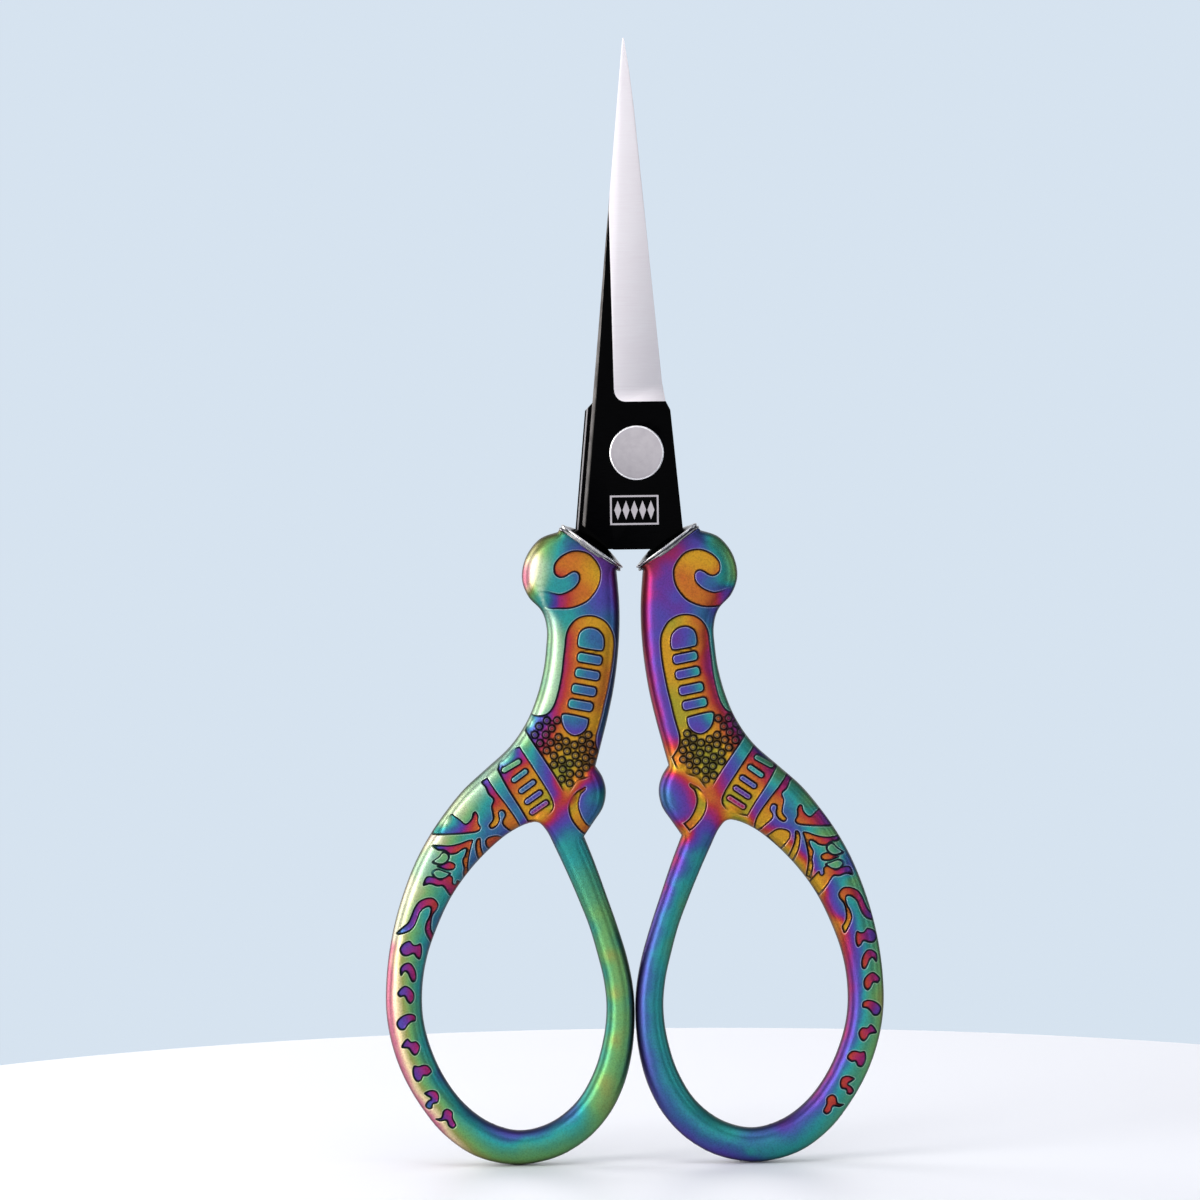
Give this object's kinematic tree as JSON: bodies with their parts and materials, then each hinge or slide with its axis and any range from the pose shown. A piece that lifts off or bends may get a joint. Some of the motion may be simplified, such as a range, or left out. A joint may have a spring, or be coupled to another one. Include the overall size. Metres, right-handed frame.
{
  "type": "craft scissors",
  "caption": "Fine-point craft scissors with straight pointed blades, ground faces, a flush pivot and ornate cast handles with teardrop finger bows.",
  "frame": {"origin": "bottom centre of the closed scissors standing on their finger bows, level with the middle plane between the blades", "axes": "+Z from the finger bows up to the blade tips, +Y from the front face to the back, +X from the left handle to the right handle"},
  "size_m": [0.0568, 0.0054, 0.1279],
  "materials": {
    "blade_steel": "gloss black coated steel with bare, finely ground bevels",
    "rainbow_zinc": "satin rainbow coating over cast zinc, shifting from teal and green to gold, magenta and purple",
    "pivot_steel": "satin turned steel"
  },
  "bodies": {
    "front_half": {"front_blade": "blade_steel", "right_handle": "rainbow_zinc", "pivot_nut": "pivot_steel", "pivot_screw": "pivot_steel", "wave_washer": "pivot_steel"},
    "rear_half": {"rear_blade": "blade_steel", "left_handle": "rainbow_zinc"}
  },
  "joints": [
    {"name": "open", "type": "hinge", "parent": "front_half", "child": "rear_half", "pos_m": [0.00095, 0, 0.0811], "axis": [0, 1, 0], "range_deg": [0, 100]}
  ]
}
